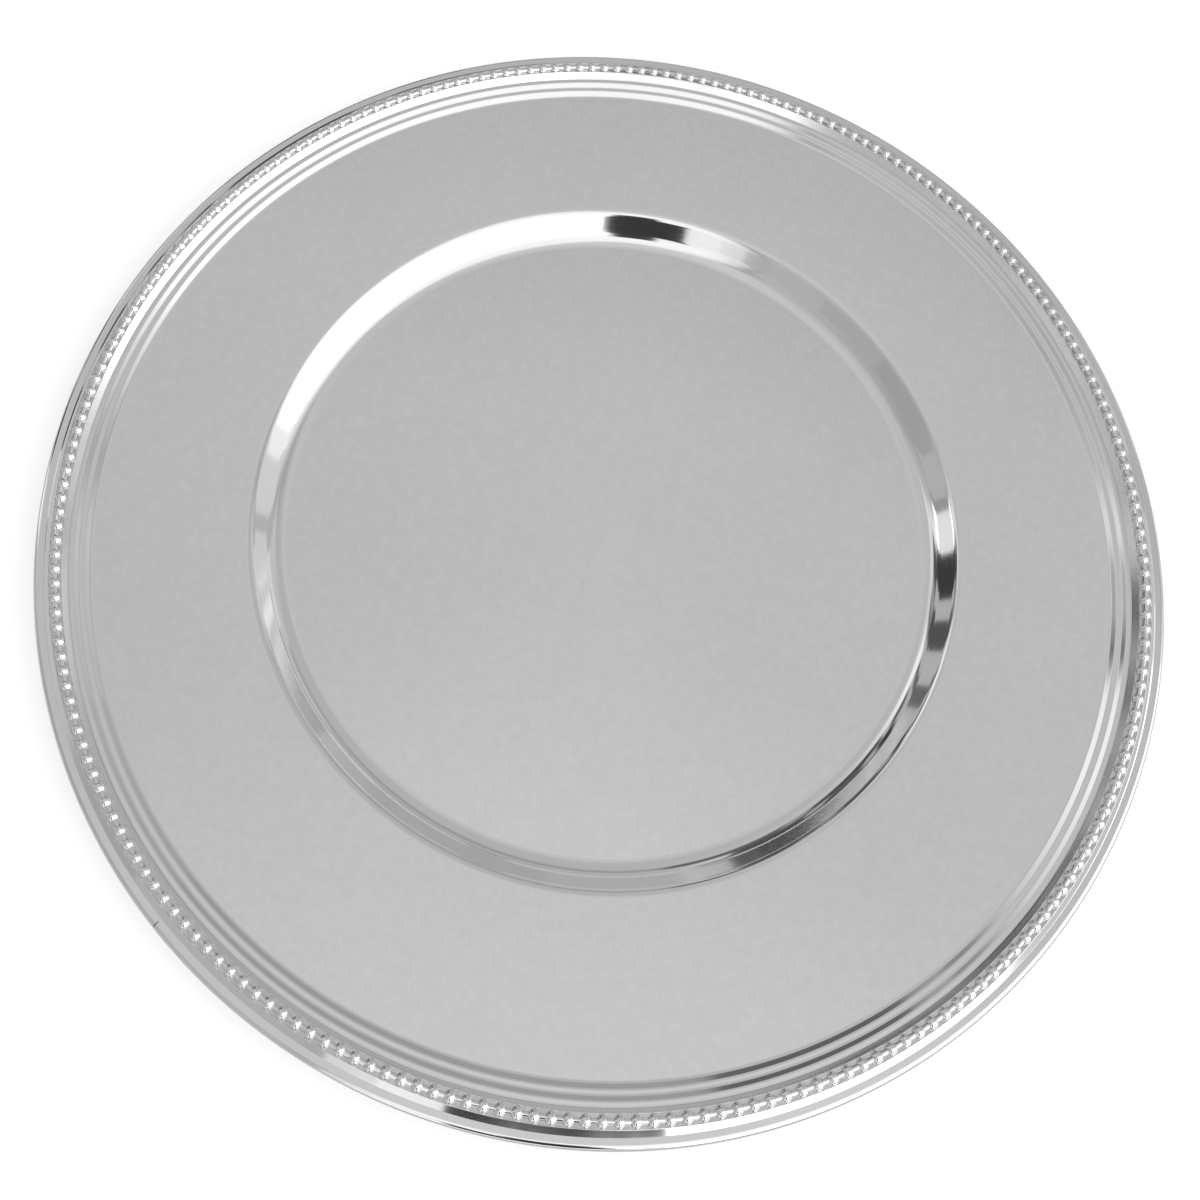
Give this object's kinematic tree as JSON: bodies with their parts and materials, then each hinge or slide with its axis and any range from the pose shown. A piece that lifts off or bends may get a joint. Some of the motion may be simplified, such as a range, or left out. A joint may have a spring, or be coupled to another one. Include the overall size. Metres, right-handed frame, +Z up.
{
  "type": "serving salver",
  "caption": "Round silver salver with a shallow flat well, a broad plain rim, two narrow steps and a raised pearled border.",
  "frame": {"origin": "centre of the well's flat underside, where the salver rests", "axes": "+Z up along the salver's axis; -Y is the front; the edge wire's seam is at 230 degrees from +X"},
  "size_m": [0.32, 0.32, 0.0149],
  "materials": {
    "polished_silver": "mirror polished",
    "soft_solder": "dull grey"
  },
  "bodies": {
    "root": {"plate": "polished_silver", "border_moulding": "polished_silver", "pearl_wire": "polished_silver", "edge_wire": "polished_silver", "border_filling": "soft_solder", "edge_solder": "soft_solder", "seam_solder": "soft_solder"}
  },
  "joints": []
}
